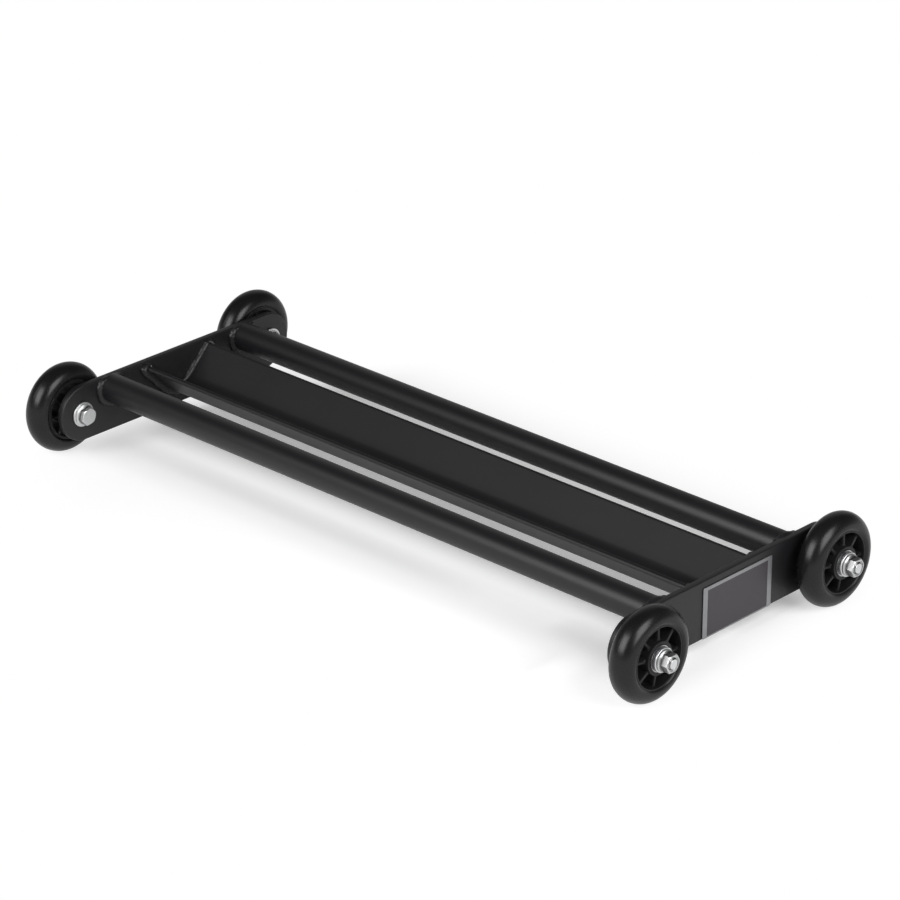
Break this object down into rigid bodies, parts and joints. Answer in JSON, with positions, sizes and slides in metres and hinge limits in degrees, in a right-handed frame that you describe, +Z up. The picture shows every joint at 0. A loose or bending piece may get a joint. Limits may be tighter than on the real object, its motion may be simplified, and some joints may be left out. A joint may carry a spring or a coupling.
{
  "type": "glute and ab roller",
  "caption": "Low welded steel roller with round grip bars and a folded foot channel between end plates, on small spoked wheels, for floor bridges, leg curls and roll-outs.",
  "frame": {"origin": "on the floor under the middle of the frame", "axes": "+X along the bars to the right end, +Y from the front grip bar to the rear one, +Z up"},
  "size_m": [0.7192, 0.3048, 0.08],
  "materials": {
    "powder_coat": "fine-textured satin black powder coat",
    "label_foil": "dark satin foil with a bright border",
    "zinc": "bright zinc plate",
    "bearing": "ground bearing steel",
    "urethane": "satin black cast urethane",
    "nylon": "satin black moulded nylon"
  },
  "bodies": {
    "frame": {"end_plate_left": "powder_coat", "end_plate_right": "powder_coat", "front_grip_bar": "powder_coat", "rear_grip_bar": "powder_coat", "foot_channel": "powder_coat", "channel_weld_left": "powder_coat", "channel_weld_right": "powder_coat", "front_grip_weld_left": "powder_coat", "front_grip_weld_right": "powder_coat", "rear_grip_weld_left": "powder_coat", "rear_grip_weld_right": "powder_coat", "label_plate": "label_foil", "front_left_axle_bolt": "zinc", "front_left_head_washer": "zinc", "front_left_plate_spacer": "zinc", "front_left_inboard_inner_race": "bearing", "front_left_bearing_spacer": "zinc", "front_left_outboard_inner_race": "bearing", "front_left_end_washer": "zinc", "front_left_lock_nut": "zinc", "rear_left_axle_bolt": "zinc", "rear_left_head_washer": "zinc", "rear_left_plate_spacer": "zinc", "rear_left_inboard_inner_race": "bearing", "rear_left_bearing_spacer": "zinc", "rear_left_outboard_inner_race": "bearing", "rear_left_end_washer": "zinc", "rear_left_lock_nut": "zinc", "front_right_axle_bolt": "zinc", "front_right_head_washer": "zinc", "front_right_plate_spacer": "zinc", "front_right_inboard_inner_race": "bearing", "front_right_bearing_spacer": "zinc", "front_right_outboard_inner_race": "bearing", "front_right_end_washer": "zinc", "front_right_lock_nut": "zinc", "rear_right_axle_bolt": "zinc", "rear_right_head_washer": "zinc", "rear_right_plate_spacer": "zinc", "rear_right_inboard_inner_race": "bearing", "rear_right_bearing_spacer": "zinc", "rear_right_outboard_inner_race": "bearing", "rear_right_end_washer": "zinc", "rear_right_lock_nut": "zinc"},
    "front_left_wheel": {"front_left_tyre": "urethane", "front_left_hub": "nylon", "front_left_inboard_outer_race": "bearing", "front_left_outboard_outer_race": "bearing"},
    "rear_left_wheel": {"rear_left_tyre": "urethane", "rear_left_hub": "nylon", "rear_left_inboard_outer_race": "bearing", "rear_left_outboard_outer_race": "bearing"},
    "front_right_wheel": {"front_right_tyre": "urethane", "front_right_hub": "nylon", "front_right_inboard_outer_race": "bearing", "front_right_outboard_outer_race": "bearing"},
    "rear_right_wheel": {"rear_right_tyre": "urethane", "rear_right_hub": "nylon", "rear_right_inboard_outer_race": "bearing", "rear_right_outboard_outer_race": "bearing"}
  },
  "joints": [
    {"name": "front_left_wheel_spin", "type": "hinge", "parent": "frame", "child": "front_left_wheel", "pos_m": [-0.3344, -0.1124, 0.04], "axis": [1, 0, 0], "continuous": true},
    {"name": "rear_left_wheel_spin", "type": "hinge", "parent": "frame", "child": "rear_left_wheel", "pos_m": [-0.3344, 0.1124, 0.04], "axis": [1, 0, 0], "continuous": true},
    {"name": "front_right_wheel_spin", "type": "hinge", "parent": "frame", "child": "front_right_wheel", "pos_m": [0.3344, -0.1124, 0.04], "axis": [1, 0, 0], "continuous": true},
    {"name": "rear_right_wheel_spin", "type": "hinge", "parent": "frame", "child": "rear_right_wheel", "pos_m": [0.3344, 0.1124, 0.04], "axis": [1, 0, 0], "continuous": true}
  ]
}
